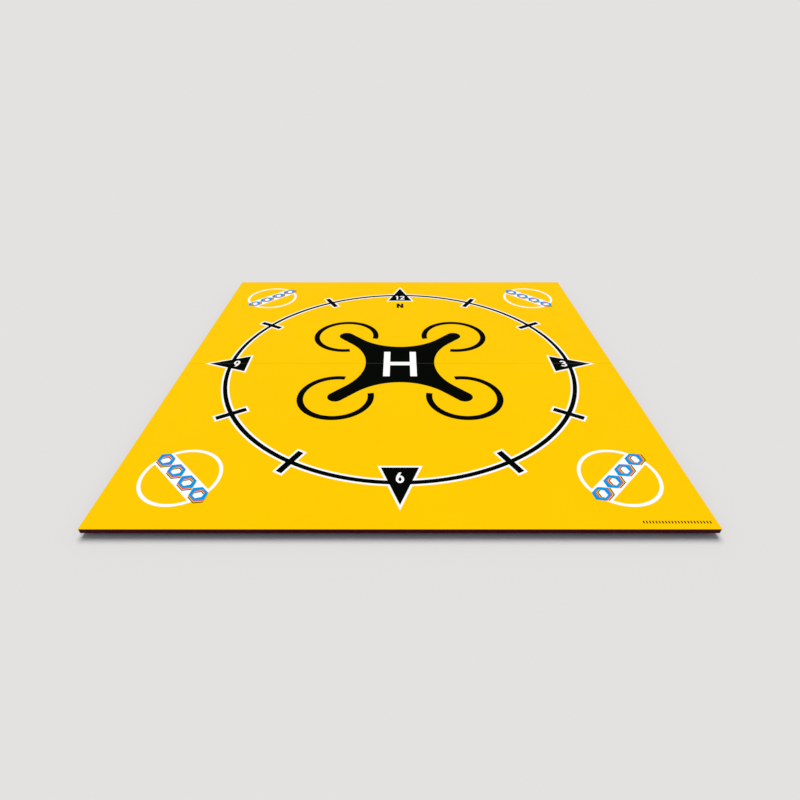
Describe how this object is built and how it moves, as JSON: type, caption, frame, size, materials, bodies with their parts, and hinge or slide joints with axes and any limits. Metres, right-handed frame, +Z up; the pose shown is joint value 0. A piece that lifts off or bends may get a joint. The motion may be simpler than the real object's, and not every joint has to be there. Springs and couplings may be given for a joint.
{
  "type": "folding drone landing pad",
  "caption": "Square folding board landing pad for small drones: printed compass ring, quadcopter symbol and corner badges on two hinged panels with rubber feet.",
  "frame": {"origin": "centre of the open pad, on the ground plane under its feet", "axes": "+X along the fold (to the 3 o'clock mark), +Y to the rear edge (12 o'clock, the letter N), +Z up out of the landing surface"},
  "size_m": [1, 1, 0.0173],
  "materials": {
    "film_faced_plywood": "dark brown phenolic film faces, oxblood edge seal",
    "vinyl_yellow": "matt anti-slip laminate",
    "vinyl_black": "matt anti-slip laminate",
    "vinyl_white": "matt anti-slip laminate",
    "vinyl_blue": "matt anti-slip laminate",
    "vinyl_magenta": "matt anti-slip laminate",
    "vinyl_crease": "creased, ink worn to the yellow base",
    "hinge_tape": "matt",
    "foot_rubber": "matt moulded",
    "zinc_plated_steel": "zinc plated"
  },
  "bodies": {
    "rear_half": {"badge_black_rear": "vinyl_black", "badge_blue_rear": "vinyl_blue", "badge_frame_rear_left": "vinyl_white", "badge_frame_rear_right": "vinyl_white", "badge_magenta_rear": "vinyl_magenta", "badge_yellow_rear": "vinyl_yellow", "board_rear": "film_faced_plywood", "compass_border_rear": "vinyl_white", "compass_ring_rear": "vinyl_black", "drone_body_rear": "vinyl_black", "foot_rear_edge_left": "foot_rubber", "foot_rear_edge_middle": "foot_rubber", "foot_rear_edge_right": "foot_rubber", "foot_rear_seam_left": "foot_rubber", "foot_rear_seam_middle": "foot_rubber", "foot_rear_seam_right": "foot_rubber", "foot_screws_rear": "zinc_plated_steel", "foot_washers_rear": "zinc_plated_steel", "hinge_tape": "hinge_tape", "landing_h_rear": "vinyl_white", "north_letter": "vinyl_black", "numeral_12": "vinyl_white", "numeral_3_rear": "vinyl_white", "numeral_9_rear": "vinyl_white", "print_crease": "vinyl_crease", "print_ground_rear": "vinyl_yellow", "rotor_arc_rear_left": "vinyl_black", "rotor_arc_rear_right": "vinyl_black"},
    "front_half": {"badge_black_front": "vinyl_black", "badge_blue_front": "vinyl_blue", "badge_frame_front_left": "vinyl_white", "badge_frame_front_right": "vinyl_white", "badge_magenta_front": "vinyl_magenta", "badge_yellow_front": "vinyl_yellow", "board_front": "film_faced_plywood", "compass_border_front": "vinyl_white", "compass_ring_front": "vinyl_black", "drone_body_front": "vinyl_black", "foot_front_edge_left": "foot_rubber", "foot_front_edge_middle": "foot_rubber", "foot_front_edge_right": "foot_rubber", "foot_front_seam_left": "foot_rubber", "foot_front_seam_middle": "foot_rubber", "foot_front_seam_right": "foot_rubber", "foot_screws_front": "zinc_plated_steel", "foot_washers_front": "zinc_plated_steel", "landing_h_front": "vinyl_white", "numeral_3_front": "vinyl_white", "numeral_6": "vinyl_white", "numeral_9_front": "vinyl_white", "print_ground_front": "vinyl_yellow", "rotor_arc_front_left": "vinyl_black", "rotor_arc_front_right": "vinyl_black", "scale_marks_front": "vinyl_black"}
  },
  "joints": [
    {"name": "fold", "type": "hinge", "parent": "rear_half", "child": "front_half", "pos_m": [0, 0, 0.0178], "axis": [-1, 0, 0], "range_deg": [0, 179.9], "deforming": ["hinge_tape", "print_crease"]}
  ]
}
